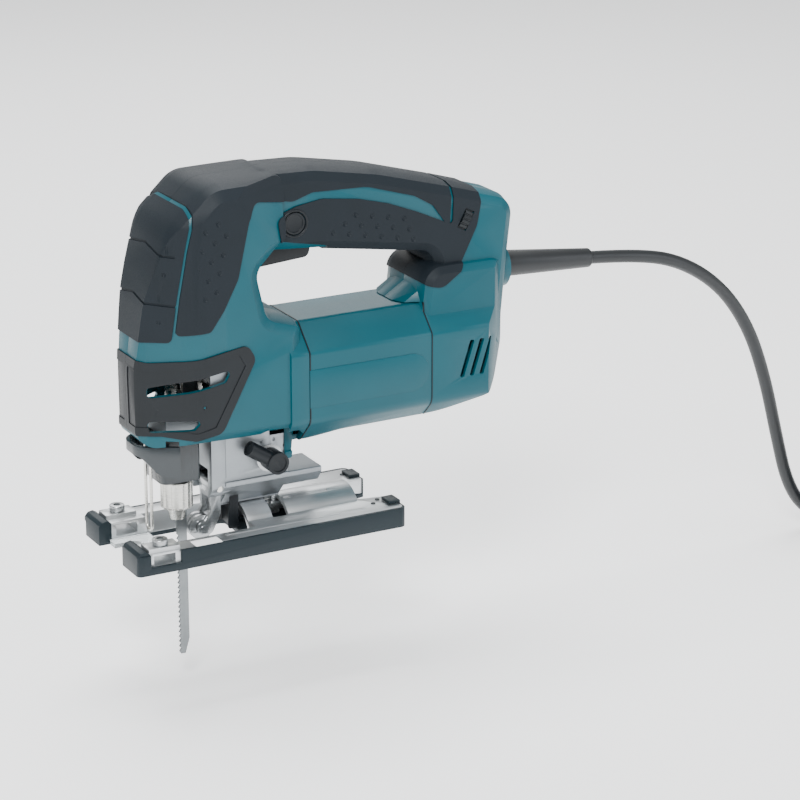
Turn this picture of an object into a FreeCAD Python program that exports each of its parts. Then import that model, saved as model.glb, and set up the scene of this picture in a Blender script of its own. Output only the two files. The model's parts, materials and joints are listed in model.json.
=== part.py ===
import FreeCAD, Part
import math
import os

# Corded top-handle jigsaw. Millimetres, +X to the rear, +Z up, -Y the tool's left side.
# The origin is the centre of the sole's underside. The bevel axis is the X axis.

V = FreeCAD.Vector
os.makedirs("parts", exist_ok=True)

# ---- driving dimensions ----
base_length = 168.0
base_half = 38.5            # half the base's width
base_top = 11.5             # top of the base's flats
arch_radius = 19.0          # outside of the base's arch, about the bevel axis
arch_wall = 3.0
skin = 2.5                  # wall of the plastic housings
pad_thick = 0.8             # how far the soft grips stand proud
shoulder_drop = 0.62        # a shoulder's height, as a share of its width
head_half = 31.0
handle_half = 20.0
motor_z = 91.0              # armature axis height
barrel_half_y = 33.0
barrel_half_z = 35.5
ring_front = 25.0           # the motor housing lies between these two parting rings
ring_rear = 103.5
plunger_x = -43.0
plunger_r = 5.0
stroke = 26.0
tooth_module = 0.65
gear_teeth = 72
pinion_teeth = 9
profile_shift = 0.45
gap = 0.15                  # between pieces that only lie side by side
cord_d = 8.0
floor_z = -86.0             # the surface that the free cord lies on, below the blade's lowest tip
coil_mid_r = 44.0
coil_turn_rows = 3

crank_z = motor_z + tooth_module * (gear_teeth + pinion_teeth) / 2.0
rest_drop = 8.0             # the plunger rests this far below the middle of its stroke
crank_y = math.sqrt((stroke / 2.0) ** 2 - rest_drop ** 2)
pin_z = crank_z - rest_drop


# ---- small tools ----
def box(x0, x1, y0, y1, z0, z1):
    return Part.makeBox(x1 - x0, y1 - y0, z1 - z0, V(x0, y0, z0))


def rod(radius, start, end):
    way = V(*end) - V(*start)
    return Part.makeCylinder(radius, way.Length, V(*start), way)


def pipe(outer, inner, start, end):
    return rod(outer, start, end).cut(rod(inner, start, end))


def cone(r0, r1, start, end):
    way = V(*end) - V(*start)
    return Part.makeCone(r0, r1, way.Length, V(*start), way)


def fuse(*solids):
    whole = solids[0]
    for solid in solids[1:]:
        whole = whole.fuse(solid)
    return whole.removeSplitter()


def group(*solids):
    return Part.makeCompound(list(solids))


def round_wire(corners, place):
    """A closed wire through (u, v, radius) corners; place(u, v) gives the point in space."""
    edges = []
    joints = []
    count = len(corners)
    for i in range(count):
        before = corners[i - 1]
        here = corners[i]
        after = corners[(i + 1) % count]
        a = V(before[0] - here[0], before[1] - here[1], 0).normalize()
        b = V(after[0] - here[0], after[1] - here[1], 0).normalize()
        half = a.getAngle(b) / 2.0
        corner = V(here[0], here[1], 0)
        reach = here[2] / math.tan(half)
        middle = (a + b).normalize() * (here[2] / math.sin(half) - here[2])
        joints.append((corner + a * reach, corner + middle, corner + b * reach))
    for i in range(count):
        start, middle, end = [place(p.x, p.y) for p in joints[i]]
        edges.append(Part.Arc(start, middle, end).toShape())
        following = joints[(i + 1) % count][0]
        following = place(following.x, following.y)
        if (following - end).Length > 0.001:
            edges.append(Part.LineSegment(end, following).toShape())
    return Part.Wire(edges)


def grown(corners, by):
    """The same anticlockwise outline with every side moved outwards by a distance."""
    out = []
    count = len(corners)
    for i in range(count):
        x0, y0, _ = corners[i - 1]
        x1, y1, radius = corners[i]
        x2, y2, _ = corners[(i + 1) % count]
        a = V(x1 - x0, y1 - y0, 0).normalize()
        b = V(x2 - x1, y2 - y1, 0).normalize()
        turn = a.x * b.y - a.y * b.x
        normal = V(a.y + b.y, -a.x - b.x, 0).normalize()
        reach = by / (normal.x * a.y - normal.y * a.x)
        radius = radius + by if turn > 0 else radius - by
        out.append((x1 + normal.x * reach, y1 + normal.y * reach, max(radius, 0.6)))
    return out


def side_wire(corners, y):
    return round_wire(corners, lambda u, v: V(u, y, v))


def side_prism(corners, y0, y1):
    return Part.Face(side_wire(corners, y0)).extrude(V(0, y1 - y0, 0))


def plan_prism(corners, z0, z1):
    wire = round_wire(corners, lambda u, v: V(u, v, z0))
    return Part.Face(wire).extrude(V(0, 0, z1 - z0))


def end_prism(corners, x0, x1):
    wire = round_wire(corners, lambda u, v: V(x0, u, v))
    return Part.Face(wire).extrude(V(x1 - x0, 0, 0))


def soft_bar(corners, half, bevel, by):
    """An outline across the whole width, with rounded shoulders on both sides."""
    wide = half + by
    wires = []
    for side, steps in ((-1, (90, 45, 0)), (1, (0, 45, 90))):
        for step in steps:
            turn = math.radians(step)
            inset = shoulder_drop * bevel * (1.0 - math.cos(turn))
            wires.append(side_wire(grown(corners, by - inset), side * (wide - bevel + bevel * math.sin(turn))))
    return Part.makeLoft(wires, True, True)


def beyond(point, normal):
    """A large block whose near face lies on a plane."""
    block = Part.makeBox(180, 180, 40, V(-90, -90, 0))
    block.Placement = FreeCAD.Placement(point, FreeCAD.Rotation(V(0, 0, 1), normal))
    return block


def save(name, shape):
    if not shape.isValid():
        raise RuntimeError("bad shape: " + name)
    shape.exportStep("parts/" + name + ".step")


# ---- the housing's outer form ----
head_side = [(-71, 66, 9), (24, 64, 4), (24, 128, 5), (4, 134, 8), (-2, 160, 8), (16, 178, 8),
             (16, 212.5, 7), (-30, 211.5, 18), (-54, 189, 30), (-66, 150, 60), (-71.5, 108, 60)]
handle_side = [(0, 168, 4), (46, 164.5, 8), (108, 155, 8), (114, 146, 8), (104, 136, 9), (88, 126, 5),
               (84, 100, 5), (142, 80, 10), (158, 96, 12), (163, 150, 40), (166.5, 180, 13),
               (124, 192.5, 60), (76, 205.5, 90), (36, 212.5, 60), (4, 213.5, 8), (-4, 190, 8)]
barrel_side = [(14, 55.5, 2), (30, 56.5, 20), (50, 60, 40), (112, 60.8, 60), (146, 70.5, 22), (158, 96, 18),
               (159, 145, 8), (100, 140, 8), (84, 127, 8), (14, 127, 2)]
head_plan = [(-73, -11, 12), (-43, -31, 26), (40, -31, 6), (40, 31, 6), (-43, 31, 26), (-73, 11, 12)]
barrel_plan = [(5, -40, 1), (133, -40, 25), (160, -14, 10), (160, 14, 10), (133, 40, 25), (5, 40, 1)]

neck_start = (-14, 31, 200)       # here the head's sides begin to narrow towards the handle
neck_normal = (504, 1536, 336)


def barrel_end(by):
    y = barrel_half_y + by
    z = barrel_half_z + by
    cut = 15.0
    low = motor_z - z
    high = motor_z + z
    return [(-y, low + cut, 9), (-y + cut, low, 9), (y - cut, low, 9), (y, low + cut, 9),
            (y, high - cut, 4), (y - cut, high, 5), (-y + cut, high, 5), (-y, high - cut, 4)]


def barrel_form(by):
    section = end_prism(barrel_end(by), 14 - by, 172 + by)
    section = section.common(side_prism(grown(barrel_side, by), -60, 60))
    rear_block = soft_bar([(98, 100, 4), (156, 100, 4), (160, 148, 12), (104, 148, 12)], 25, 9, by)
    return section.fuse(rear_block).common(plan_prism(grown(barrel_plan, by), 0, 240))


def body_form(by):
    plan = plan_prism(grown(head_plan, by), 0, 240)
    head = soft_bar(head_side, head_half, 13, by).common(plan)
    for side in (-1, 1):
        way = V(neck_normal[0], side * neck_normal[1], neck_normal[2]).normalize()
        head = head.cut(beyond(V(neck_start[0], side * neck_start[1], neck_start[2]) + way * by, way))
    handle = soft_bar(handle_side, handle_half, 11, by)
    return fuse(head, handle, barrel_form(by))


boss_z = 136.0
boss_r = 13.0
boss_end = 166.5
outer = body_form(0).fuse(rod(boss_r, (150, 0, boss_z), (boss_end, 0, boss_z))).removeSplitter()
inner = body_form(-skin)
leg = side_prism([(15, 46, 1), (21, 46, 1), (23, 65.6, 2), (9, 65.6, 2)], -17.5, 17.5)
leg_bore = box(-40, 19.6, -15.9, 15.9, 20, 70)
shell = outer.cut(inner).fuse(leg.cut(leg_bore))

# what passes through the shell
lever_x, lever_z = 8.0, 47.5
lever_disc = rod(22.3, (lever_x, -28.4, lever_z), (lever_x, -16, lever_z))
lever_sweep = lever_disc.common(box(-20, 24.9, -30, 0, 50, 80))
under_mouth = fuse(box(-58, 17, -25.2, 25.2, 40, 70), leg_bore, lever_sweep)
nose_mouth = rod(13.5, (-56, 0, 40), (-56, 0, 70))
trigger_slot = box(-1, 41, -9.9, 9.9, 150, 172)
button_x, button_z, button_r = 23.0, 183.5, 6.3
button_hole = rod(button_r + 0.4, (button_x, -30, button_z), (button_x, -12, button_z))
guard_hole = rod(6.15, (150, 0, boss_z), (175, 0, boss_z))
dial_centre = V(131.5, -11.0, 172.0)
dial_way = V(0.88, 0, -0.47).normalize()
dial_r = 11.0
dial_slot = Part.makeCylinder(dial_r + 0.5, 6.2, dial_centre - dial_way * 3.1, dial_way)

vent_slots = []
for step in range(3):
    x = 121.2 + 6.4 * step
    slanted = [(x, 82.5, 1), (x + 2.8, 82.5, 1), (x + 9.8, 104, 1), (x + 6.8, 104, 1)]
    vent_slots.append(side_prism(slanted, -40, 40))
side_slots = []
upper_slot = [(-66, 94.5, 2), (-52, 97, 8), (-25.5, 101.8, 2), (-21, 109, 2), (-52, 104, 8), (-66, 100.5, 2)]
lower_slot = [(-66, 74.5, 2), (-44, 76.5, 2), (-38, 82.5, 2), (-66, 81, 2)]
for corners in (upper_slot, lower_slot):
    side_slots.append(side_prism(corners, -40, 40))

mouths = [under_mouth, nose_mouth, trigger_slot, button_hole, guard_hole, dial_slot]
for hole in mouths + vent_slots + side_slots:
    shell = shell.cut(hole)

# ---- screws that hold the two halves, and their bosses ----
screw_spots = [(-18, 197), (52, 199), (118, 178), (150, 166), (150, 98), (-61, 118)]
screw_head_r = 3.6
screw_r = 1.9
bosses = []
screws = []
for x, z in screw_spots:
    wide = 40.0
    boss = rod(4.6, (x, -wide, z), (x, wide, z)).common(outer)
    reach = boss.BoundBox.YMax
    seat = reach - 4.0
    boss = boss.cut(rod(screw_head_r + 0.3, (x, seat, z), (x, wide, z)))
    boss = boss.cut(rod(screw_r + 0.15, (x, -reach + 6.0, z), (x, wide, z)))
    bosses.append(boss)
    shell = shell.cut(rod(screw_head_r + 0.3, (x, seat, z), (x, wide, z)))
    shell = shell.cut(rod(screw_r + 0.15, (x, -reach + 6.0, z), (x, wide, z)))
    head = rod(screw_head_r, (x, seat, z), (x, seat + 2.4, z))
    socket = rod(1.5, (x, seat + 1.0, z), (x, wide, z))
    shank = rod(screw_r, (x, seat - 20.0, z), (x, seat, z))
    screws.append(fuse(head.cut(socket), shank))
for boss in bosses:
    shell = shell.fuse(boss)

middle = box(ring_front, ring_rear, -60, 60, 0, motor_z + barrel_half_z + 0.6)
sleeve_out = 24.6
sleeve_in = 22.8
sleeve = pipe(sleeve_out, sleeve_in, (ring_rear - 1, 0, motor_z), (124, 0, motor_z))
end_wall = pipe(sleeve_out, 4.2, (124, 0, motor_z), (132, 0, motor_z))
bearing_seat = rod(9.5, (122.9, 0, motor_z), (130.3, 0, motor_z))
wall_vents = [rod(4.0, (120, 17 * math.cos(a), motor_z + 17 * math.sin(a)),
                  (140, 17 * math.cos(a), motor_z + 17 * math.sin(a)))
              for a in [math.radians(30 + 60 * n) for n in range(6)]]
motor_housing = barrel_form(0).cut(barrel_form(-skin)).common(middle)
motor_housing = motor_housing.common(box(ring_front + gap, ring_rear - gap, -60, 60, 0, 200))
flange = rod(29.0, (ring_rear - 6, 0, motor_z), (ring_rear - gap, 0, motor_z))
flange = flange.cut(rod(sleeve_in, (ring_rear - 7, 0, motor_z), (ring_rear, 0, motor_z)))
rear_sleeve = fuse(flange, sleeve, end_wall).cut(bearing_seat)
for hole in wall_vents:
    rear_sleeve = rear_sleeve.cut(hole)
rim = end_prism(barrel_end(-1), ring_rear - 6, ring_rear - gap).common(barrel_form(-1))
rim = rim.cut(rod(28.5, (ring_rear - 7, 0, motor_z), (ring_rear, 0, motor_z)))
motor_housing = fuse(motor_housing, rim, rear_sleeve)
shell = shell.cut(middle).cut(motor_housing)

housing_left = shell.common(box(-200, 300, -80, -gap / 2, -10, 260))
housing_right = shell.common(box(-200, 300, gap / 2, 80, -10, 260))
save("housing_left", housing_left)
save("housing_right", housing_right)
save("motor_housing", motor_housing)
save("housing_screws", group(*screws))

# ---- soft grips and dark covers laid over the shells ----
upper_pad_side = [(-41, 232, 1), (-41.5, 199, 9), (-46, 178, 20), (-50, 152, 20), (-52.5, 131, 2),
                  (-34, 132, 4), (-26, 143, 8), (-17, 160, 12), (-10, 191, 6), (-5, 201, 5), (22, 196, 8),
                  (34, 200, 8), (68, 199, 20), (98, 190, 6), (110, 183, 5), (121, 168, 1.5), (124, 232, 1)]
lower_pad_side = [(140, 232, 1), (125, 232, 1), (123, 170, 2), (100, 180.5, 20), (82, 187.5, 20),
                  (63, 192.5, 20), (40, 195.5, 12), (24, 193, 8), (10, 188, 4), (11, 175, 3), (44, 168, 3),
                  (46, 160, 2), (98, 152, 3), (101, 138, 8), (114, 135, 8), (127, 144, 10),
                  (139, 168, 20), (141.5, 182, 6)]
front_pad_side = [(-100, 127, 1), (-54.5, 127, 3), (-51.5, 152, 20), (-47.5, 178, 20), (-43.5, 199, 9),
                  (-43.5, 232, 1), (-100, 232, 1)]
vent_cover_side = [(-100, 72, 1), (-60, 73, 10), (-42, 70, 8), (-28, 73, 8), (-7, 113, 6), (-12, 121.5, 5),
                   (-40, 117, 10), (-66, 115, 12), (-82, 119, 10), (-100, 120, 1)]

skin_over = body_form(pad_thick).cut(outer)
holes_in_pads = [button_hole, dial_slot, trigger_slot] + side_slots


def cover(corners):
    if sum((b[0] - a[0]) * (b[1] + a[1]) for a, b in zip(corners, corners[1:] + corners[:1])) > 0:
        corners = corners[::-1]
    shape = skin_over.common(side_prism(corners, -60, 60))
    for hole in holes_in_pads:
        shape = shape.cut(hole)
    for x, z in screw_spots:
        shape = shape.cut(rod(screw_head_r + 0.5, (x, 0, z), (x, 60, z)))
    return shape


def halves(name, shape):
    save(name + "_left", shape.common(box(-200, 300, -80, -gap / 2, -10, 260)))
    save(name + "_right", shape.common(box(-200, 300, gap / 2, 80, -10, 260)))


grip_top = cover(upper_pad_side)
halves("grip_top", grip_top)
halves("grip_inner", cover(lower_pad_side).cut(grip_top))
save("grip_front", cover(front_pad_side))
halves("vent_cover", cover(vent_cover_side))

# ---- gear housing: box for the gears, side plates and the foot on the arch ----
gh_half = 15.5
fork_x, fork_z = -22.5, 33.5
gear_box = box(-33, -5, -27.2, 27.2, 68.8, 161)
gear_box = gear_box.cut(box(-34, -8, -25.2, 25.2, 72, 158)).common(body_form(-skin - gap))
bearing_tube = pipe(12.5, 9.5, (-4, 0, motor_z), (7, 0, motor_z))
gear_box = gear_box.cut(rod(9.5, (-5, 0, motor_z), (8, 0, motor_z)))
gear_box = gear_box.cut(rod(5.0, (-10, 0, motor_z), (0, 0, motor_z)))
gear_box = gear_box.cut(rod(4.0, (-12, 0, crank_z), (8, 0, crank_z)))
foot_section = [(-gh_half, 34, 1), (-11, 29, 1), (-3.3, 20.5, 0.6), (-3.3, arch_radius + 0.35, 0.4),
                (3.3, arch_radius + 0.35, 0.4), (3.3, 20.5, 0.6), (11, 29, 1), (gh_half, 34, 1),
                (gh_half, 67.5, 1), (-gh_half, 67.5, 1)]
lower_block = end_prism(foot_section, -28, 19.3)
lower_block = lower_block.cut(box(-20, 16, -11.5, 11.5, 39, 70)).cut(box(8, 20, -20, 20, 61, 70))
front_chamfer = side_prism([(-30, 10, 1), (-19.5, 10, 1), (-19.5, 27, 1), (-30, 27, 1)], -20, 20)
lower_block = lower_block.cut(front_chamfer)
tail = end_prism([(-13, 33, 1), (-8, 26.5, 1), (8, 26.5, 1), (13, 33, 1), (13, 36, 1), (-13, 36, 1)], 19, 42)
lip = group(box(-20, 19.3, -17, -15, 35, 37.5), box(-20, 19.3, 15, 17, 35, 37.5))
lug_outline = [(-28, 29.5, 3), (-14, 31, 3), (-14, 38, 2), (-28, 38, 3)]
lugs = side_prism(lug_outline, -13.2, 13.2).cut(box(-40, -16, -10.2, 10.2, 20, 45))
lugs = lugs.cut(rod(2.0, (fork_x, -20, fork_z), (fork_x, 20, fork_z)))
lower_block = lower_block.cut(box(-40, -17.5, -10.2, 10.2, 20, 45))
lower_block = lower_block.cut(rod(2.0, (fork_x, -20, fork_z), (fork_x, 20, fork_z)))
lever_bore = rod(4.05, (lever_x, -20, lever_z), (lever_x, 0, lever_z))
bolt_x = 17.0
bolt_r = 2.0
bolt_bore = rod(bolt_r, (bolt_x, 0, 15), (bolt_x, 0, 36))
gear_housing = fuse(gear_box, bearing_tube, lower_block, tail, lip.Solids[0], lip.Solids[1], lugs)
gear_housing = gear_housing.cut(lever_bore).cut(bolt_bore)
for x, z in screw_spots:
    gear_housing = gear_housing.cut(rod(5.0, (x, -60, z), (x, 60, z)))
save("gear_housing", gear_housing)

holder = side_prism([(-15.5, 6, 2), (-8.5, 6, 2), (-8.5, 30, 1), (-13.5, 30, 1)], -8.4, 8.4)
save("retainer_holder", holder.cut(box(-30, -11.5, -7.6, 7.6, 0, 27)).cut(gear_housing))

crank_plate = box(-36, -33.1, -27, 27, 142, 161)
crank_plate = crank_plate.cut(rod(plunger_r + 1.2, (plunger_x, 0, 130), (plunger_x, 0, 170)))
guide_upper = box(-52, -33.1, -12, 12, 143, 157).fuse(crank_plate)
guide_upper = guide_upper.cut(rod(plunger_r + 1.6, (plunger_x, 0, 130), (plunger_x, 0, 170)))
guide_lower = box(-54, -33.1, -13, 13, 68, 80)
guide_lower = guide_lower.cut(rod(plunger_r + 1.6, (plunger_x, 0, 60), (plunger_x, 0, 90)))
save("plunger_guides", group(guide_upper, guide_lower))
bush_low = pipe(plunger_r + 1.6, plunger_r + 0.05, (plunger_x, 0, 68), (plunger_x, 0, 80))
bush_high = pipe(plunger_r + 1.6, plunger_r + 0.05, (plunger_x, 0, 143), (plunger_x, 0, 157))
save("plunger_bushes", group(bush_low, bush_high))
save("gear_axle", rod(4.0, (-30, 0, crank_z), (4, 0, crank_z)))

# ---- nose: fixed shroud, tool opener and finger guard ----
shroud = plan_prism([(-57, -13, 5), (-33.5, -13, 2), (-33.5, 13, 2), (-57, 13, 5)], 41, 67)
shroud = shroud.cut(rod(10.6, (plunger_x, 0, 40), (plunger_x, 0, 63.5)))
shroud = shroud.cut(rod(6.4, (plunger_x, 0, 60), (plunger_x, 0, 70)))
save("plunger_shroud", shroud)
opener_plan = [(-71, -11, 12), (-44, -26, 10), (-39, -26, 1), (-39, 24, 1), (-44, 24, 10), (-71, 9, 12)]
opener_side = [(-80, 61, 1), (-69, 59.5, 6), (-61, 49.5, 8), (-49, 46, 1), (-49, 65.3, 1), (-80, 65.3, 1)]
opener_outer = plan_prism(opener_plan, 47, 65.3)
opener_inner = plan_prism(grown(opener_plan, -2.6), 46, 66)
opener = opener_outer.cut(opener_inner).common(box(-80, -50, -40, 22, 40, 70))
opener = opener.common(side_prism(opener_side, -40, 40))
opener_x, opener_y = -52.5, 17.5
opener = opener.cut(rod(4.2, (opener_x, opener_y, 40), (opener_x, opener_y, 70)))
opener_knuckle = pipe(3.9, 2.05, (opener_x, opener_y, 48), (opener_x, opener_y, 65.3))
opener_web = box(-58, opener_x, 16.5, 18.5, 48, 65.3)
opener_web = opener_web.cut(rod(3.0, (opener_x, opener_y, 40), (opener_x, opener_y, 70)))
tool_opener = fuse(opener, opener_knuckle, opener_web)
save("tool_opener", tool_opener)
save("hinge_pins", group(rod(2.0, (opener_x, opener_y, 46.5), (opener_x, opener_y, 67)),
                         rod(2.0, (fork_x, -13.8, fork_z), (fork_x, 13.8, fork_z))))

wire_r = 0.9
wire_x = -60.0
wire_half = 3.6
turn = Part.Arc(V(wire_x, -wire_half, 15), V(wire_x, 0, 15 - wire_half), V(wire_x, wire_half, 15)).toShape()
path = Part.Wire([Part.LineSegment(V(wire_x, -wire_half, 64), V(wire_x, -wire_half, 15)).toShape(), turn,
                  Part.LineSegment(V(wire_x, wire_half, 15), V(wire_x, wire_half, 64)).toShape()])
wire_face = Part.Wire([Part.makeCircle(wire_r, V(wire_x, -wire_half, 64), V(0, 0, -1))])
save("finger_guard", path.makePipeShell([wire_face], True, True))

# ---- gears: involute teeth, the pinion's addendum moved outwards ----
pressure = math.radians(20)


def gear_outline(teeth, shift, clearance):
    """Points of a spur gear's outline in the YZ plane, a tooth centred on +Y."""
    pitch_r = tooth_module * teeth / 2.0
    base_r = pitch_r * math.cos(pressure)
    tip_r = pitch_r + tooth_module * (1.0 + shift) - clearance
    root_r = pitch_r - tooth_module * (1.25 - shift)
    half_pitch = (math.pi / 2.0 + 2.0 * shift * math.tan(pressure)) / teeth
    involute = math.tan(pressure) - pressure
    slack = 0.045 / pitch_r
    points = []
    low_r = max(base_r, root_r) + 0.01
    for tooth in range(teeth):
        middle = 2.0 * math.pi * tooth / teeth
        flank = []
        for step in range(5):
            r = low_r + (tip_r - low_r) * step / 4.0
            angle = math.acos(min(1.0, base_r / r))
            flank.append((r, half_pitch + involute - (math.tan(angle) - angle) - slack))
        foot = flank[0][1]
        side = [(root_r, foot)] + flank
        for r, a in side:
            points.append((r, middle - a))
        for r, a in reversed(side):
            points.append((r, middle + a))
    return [(r * math.cos(a), r * math.sin(a)) for r, a in points]


def spur_gear(teeth, shift, clearance, x0, x1, y, z, turned):
    cos_t = math.cos(turned)
    sin_t = math.sin(turned)
    corners = [V(x0, y + u * cos_t - v * sin_t, z + u * sin_t + v * cos_t)
               for u, v in gear_outline(teeth, shift, clearance)]
    wire = Part.makePolygon(corners + corners[:1])
    return Part.Face(wire).extrude(V(x1 - x0, 0, 0))


# the gear's tooth space faces the pinion's tooth along the line of centres
gear_turn = -math.pi / 2.0 + math.pi / gear_teeth
gear = spur_gear(gear_teeth, -profile_shift, 0.05, -26, -18, 0, crank_z, gear_turn)
gear = gear.cut(pipe(19.0, 9.0, (-27, 0, crank_z), (-24, 0, crank_z)))
gear = gear.fuse(rod(5.5, (-24.5, crank_y, pin_z), (-18, crank_y, pin_z))).removeSplitter()
crank_gear = gear.cut(rod(4.05, (-30, 0, crank_z), (-10, 0, crank_z)))
crank_gear = crank_gear.cut(rod(3.0, (-30, crank_y, pin_z), (-10, crank_y, pin_z)))
save("crank_gear", crank_gear)
save("crank_pin", rod(3.0, (-33.4, crank_y, pin_z), (-18, crank_y, pin_z)))

pinion = spur_gear(pinion_teeth, profile_shift, 0.05, -27, -16, 0, motor_z, math.pi / 2.0)
shaft = rod(3.5, (-16, 0, motor_z), (134, 0, motor_z))
save("armature_shaft", fuse(pinion, shaft))
core = pipe(17.5, 3.5, (36, 0, motor_z), (78, 0, motor_z))
for n in range(12):
    a = math.pi * 2.0 * n / 12.0
    slot = box(35, 79, 12.0, 19.0, -0.9, 0.9)
    slot.rotate(V(0, 0, 0), V(1, 0, 0), math.degrees(a))
    slot.translate(V(0, 0, motor_z))
    core = core.cut(slot)
save("armature_core", group(core, pipe(15.0, 3.5, (29, 0, motor_z), (35.8, 0, motor_z)),
                            pipe(15.0, 3.5, (78.2, 0, motor_z), (86, 0, motor_z))))
save("commutator", pipe(11.0, 3.5, (97, 0, motor_z), (112, 0, motor_z)))
hub = pipe(8.0, 3.5, (14, 0, motor_z), (24, 0, motor_z))
disc = pipe(24.5, 7.5, (22, 0, motor_z), (24, 0, motor_z))
fan = hub.fuse(disc)
for n in range(14):
    blade_plate = box(14.5, 22.5, 7.5, 24.0, -0.8, 0.8)
    blade_plate.rotate(V(0, 0, 0), V(1, 0, 0), 360.0 * n / 14.0)
    blade_plate.translate(V(0, 0, motor_z))
    fan = fan.fuse(blade_plate)
save("cooling_fan", fan.removeSplitter())


def bearing(x0, x1):
    return [pipe(9.5, 7.6, (x0, 0, motor_z), (x1, 0, motor_z)),
            pipe(5.2, 3.55, (x0, 0, motor_z), (x1, 0, motor_z)),
            pipe(7.4, 5.4, (x0 + 1.5, 0, motor_z), (x1 - 1.5, 0, motor_z))]


save("armature_bearings", group(*bearing(0, 7), *bearing(123.2, 130.2)))
stator = pipe(27.6, 18.2, (33, 0, motor_z), (81, 0, motor_z))
pole_gap = pipe(25.5, 18.0, (32, 0, motor_z), (82, 0, motor_z))
stator = stator.cut(pole_gap.common(box(30, 90, -40, 40, motor_z - 6, motor_z + 6)))
save("field_stator", group(stator, pipe(26.6, 19.5, (81.2, 0, motor_z), (88, 0, motor_z)),
                           pipe(26.6, 19.5, (26.5, 0, motor_z), (32.8, 0, motor_z))))
holders = []
brushes = []
for side in (-1, 1):
    inner_y, outer_y = side * 12.5, side * 22.1
    casing = box(99, 110, min(inner_y, outer_y), max(inner_y, outer_y), motor_z - 5, motor_z + 5)
    channel = box(101, 108, min(0, side * 21.2), max(0, side * 21.2), motor_z - 3, motor_z + 3)
    holders.append(casing.cut(channel))
    tip_y, back_y = side * 11.4, side * 19.5
    brushes.append(box(101.1, 107.9, min(tip_y, back_y), max(tip_y, back_y), motor_z - 2.9, motor_z + 2.9))
save("brush_holders", group(*holders))
save("carbon_brushes", group(*brushes))

# ---- reciprocating pieces ----
plunger_top = 168.0
plunger = rod(plunger_r, (plunger_x, 0, 22.5), (plunger_x, 0, plunger_top))
plunger = plunger.cut(box(plunger_x - 0.9, plunger_x + 6, -0.75, 0.75, 20, 37))
plunger = plunger.cut(rod(3.2, (plunger_x, 0, 60), (plunger_x, 0, plunger_top + 1)))
blade_front = -43.7
blade_back = -37.4
blade_half = 0.6
shank_top = 36.0
tip_z = -68.0
save("plunger", plunger)
yoke_side = [(-38.6, pin_z - 8, 1), (-34, pin_z - 8, 1), (-34, pin_z + 8, 1), (-38.6, pin_z + 8, 1)]
yoke = side_prism(yoke_side, -20, 20).cut(box(-35.6, -33, -17, 17, pin_z - 3.3, pin_z + 3.3))
yoke_clamp = box(-49, -38.4, -8, 8, pin_z - 8, pin_z + 8)
yoke = fuse(yoke, yoke_clamp).cut(rod(plunger_r, (plunger_x, 0, 80), (plunger_x, 0, 140)))
save("yoke", yoke)
sleeve_r = 9.3
clamp_sleeve = pipe(sleeve_r, plunger_r + 0.08, (plunger_x, 0, 23), (plunger_x, 0, 38.5))
clamp_sleeve = clamp_sleeve.cut(rod(1.4, (plunger_x, -12, 31), (plunger_x, -8, 31)))
save("clamp_sleeve", clamp_sleeve)
save("clamp_spring", pipe(6.6, plunger_r + 0.02, (plunger_x, 0, 38.8), (plunger_x, 0, 41.2)))
collar = cone(4.2, 5.6, (plunger_x, 0, 15.5), (plunger_x, 0, 22.5))
collar = collar.cut(box(blade_front - 0.2, blade_back + 0.2, -0.75, 0.75, 10, 30))
save("clamp_collar", collar)

tooth_pitch = 3.0
teeth_from = 4.0
corners = [V(blade_back, -blade_half, shank_top - 16), V(blade_back, -blade_half, tip_z + 9),
           V(blade_back - 2.6, -blade_half, tip_z)]
corners.append(V(blade_front + 0.9, -blade_half, tip_z))
z = tip_z + 1.5
while z < teeth_from:
    corners.append(V(blade_front, -blade_half, z))
    corners.append(V(blade_front + 1.2, -blade_half, z + tooth_pitch * 0.62))
    z += tooth_pitch
corners.append(V(blade_front, -blade_half, z))
corners.append(V(blade_front, -blade_half, shank_top - 16))
corners.append(V(plunger_x - 0.7, -blade_half, shank_top - 12))
corners.append(V(plunger_x - 0.7, -blade_half, shank_top))
corners.append(V(blade_back - 1.8, -blade_half, shank_top))
corners.append(V(blade_back - 1.8, -blade_half, shank_top - 14))
blade = Part.Face(Part.makePolygon(corners + corners[:1])).extrude(V(0, 2 * blade_half, 0))
save("saw_blade", blade)

balance = side_prism([(-14.5, 82, 1), (-10.5, 82, 1), (-10.5, 151, 1), (-14.5, 151, 1)], -20, 20)
balance = balance.cut(plan_prism([(-20, -6, 1), (-5, -6, 1), (-5, 6, 1), (-20, 6, 1)], 84.9 - 5, 137))
balance = balance.cut(box(-20, -5, -6, 6, 81, 90))
save("balance_plate", balance)

# ---- roller fork and roller ----
roller_r = 7.3
roller_x = blade_back + 0.35 + roller_r
roller_z = 8.5
arm = side_prism([(fork_x - 3.6, fork_z - 3, 2.5), (fork_x + 3.4, fork_z - 3.5, 2.5),
                  (fork_x + 3.6, fork_z + 3.2, 2.5), (fork_x - 3.6, fork_z + 3.6, 2.5)], -9.8, 9.8)
leg_side = [(roller_x - 3.4, roller_z - 3.4, 3), (roller_x + 5, roller_z - 3.4, 3), (fork_x + 3.2, 16, 3),
            (fork_x + 3.4, fork_z, 2), (fork_x - 3.4, fork_z, 2), (fork_x - 2.6, 18, 4),
            (roller_x + 1, roller_z + 4.2, 3), (roller_x - 3.4, roller_z + 3.6, 3)]
fork = arm.fuse(side_prism(leg_side, -7.4, 7.4)).removeSplitter()
fork = fork.cut(box(-60, 0, -4.7, 4.7, 0, 26))
fork = fork.cut(box(-60, fork_x - 3.0, -9.9, 9.9, 24, 60).common(box(-60, fork_x - 3.9, -20, 20, 0, 60)))
fork = fork.cut(rod(2.05, (fork_x, -15, fork_z), (fork_x, 15, fork_z)))
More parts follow.
